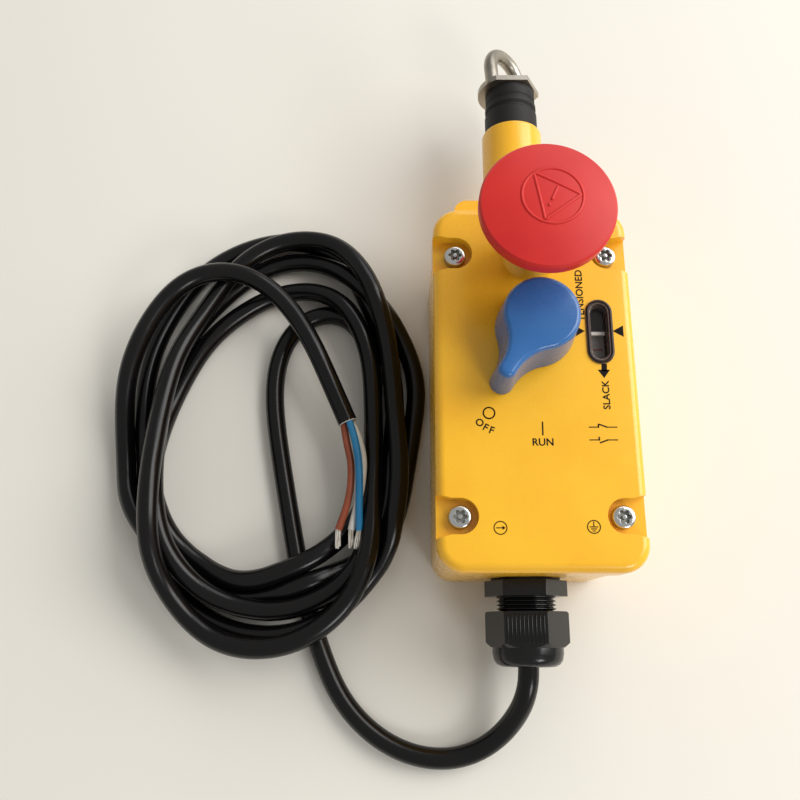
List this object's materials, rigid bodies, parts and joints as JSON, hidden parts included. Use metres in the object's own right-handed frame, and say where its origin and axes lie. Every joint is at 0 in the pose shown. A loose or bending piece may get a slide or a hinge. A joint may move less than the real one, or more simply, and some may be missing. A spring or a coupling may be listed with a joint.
{
  "type": "rope pull switch",
  "caption": "Rope pull safety switch: metal box with a sprung rope eye, emergency stop mushroom, reset knob, tension window and a coiled lead on a gland.",
  "frame": {"origin": "centre of the four tapped holes, on the back mounting face", "axes": "+Y along the rope axis towards the rope eye, +Z out of the lid, +X to the right seen from the lid side"},
  "size_m": [0.1779, 0.2627, 0.0923],
  "materials": {
    "yellow_paint": "gloss",
    "black_rubber": "matt",
    "zinc_steel": "bright",
    "bearing_bronze": "satin",
    "stainless_steel": "satin",
    "spring_steel": "bright",
    "grey_nylon": "matt",
    "black_nylon": "satin",
    "white_plastic": "gloss",
    "window_brown": "gloss",
    "clear_glass": "clear",
    "red_plastic": "satin",
    "blue_plastic": "gloss",
    "brass_screws": "bright",
    "black_sheath": "satin",
    "brown_insulation": "satin",
    "blue_insulation": "satin",
    "grey_insulation": "satin",
    "tinned_copper": "bright"
  },
  "bodies": {
    "housing": {"housing": "yellow_paint", "lid": "yellow_paint", "rope_barrel": "yellow_paint", "lid_gasket": "black_rubber", "lid_screws": "zinc_steel", "barrel_bush": "bearing_bronze", "rope_gaiter": "black_rubber", "tension_spring": "spring_steel", "window_frame": "window_brown", "window_lens": "clear_glass", "button_seal": "black_rubber", "button_spring": "spring_steel", "reset_seal": "black_rubber", "contact_blocks": "grey_nylon", "terminal_block": "grey_nylon", "terminal_screws": "brass_screws", "earth_screw": "brass_screws", "gland_body": "black_nylon", "gland_washer": "black_rubber", "gland_insert": "black_rubber", "gland_nut": "black_nylon", "lead_run": "black_sheath", "lead_coil": "black_sheath", "lead_tail": "black_sheath", "core_brown": "brown_insulation", "core_blue": "blue_insulation", "core_grey": "grey_insulation", "core_ends": "tinned_copper"},
    "pull_rod": {"pull_rod": "stainless_steel", "rope_eye": "stainless_steel", "spring_cup": "zinc_steel", "tension_carrier": "grey_nylon", "tension_slider": "black_nylon", "tension_line": "white_plastic"},
    "stop_button": {"button_head": "red_plastic", "button_stem": "stainless_steel", "button_yoke": "zinc_steel"},
    "reset_knob": {"reset_knob": "blue_plastic", "reset_spindle": "stainless_steel", "reset_cam": "black_nylon"},
    "contact_plungers": {"contact_plungers": "white_plastic"}
  },
  "joints": [
    {"name": "rope_pull", "type": "slide", "parent": "housing", "child": "pull_rod", "axis": [0, 1, 0], "range_m": [-0.005, 0.005], "stiffness_N_per_m": 20000, "deforming": ["tension_spring", "rope_gaiter"]},
    {"name": "stop_push", "type": "slide", "parent": "housing", "child": "stop_button", "axis": [0, 0, -1], "range_m": [0, 0.004], "stiffness_N_per_m": 3000, "deforming": ["button_spring"]},
    {"name": "reset_turn", "type": "hinge", "parent": "housing", "child": "reset_knob", "pos_m": [0, 0.0162, 0.0585], "axis": [0, 0, 1], "range_deg": [0, 32]},
    {"name": "plunger_push", "type": "slide", "parent": "housing", "child": "contact_plungers", "axis": [0, 0, -1], "range_m": [0, 0.004]}
  ],
  "couplings": [
    {"joint": "plunger_push", "follows": "stop_push", "ratio": 1}
  ]
}
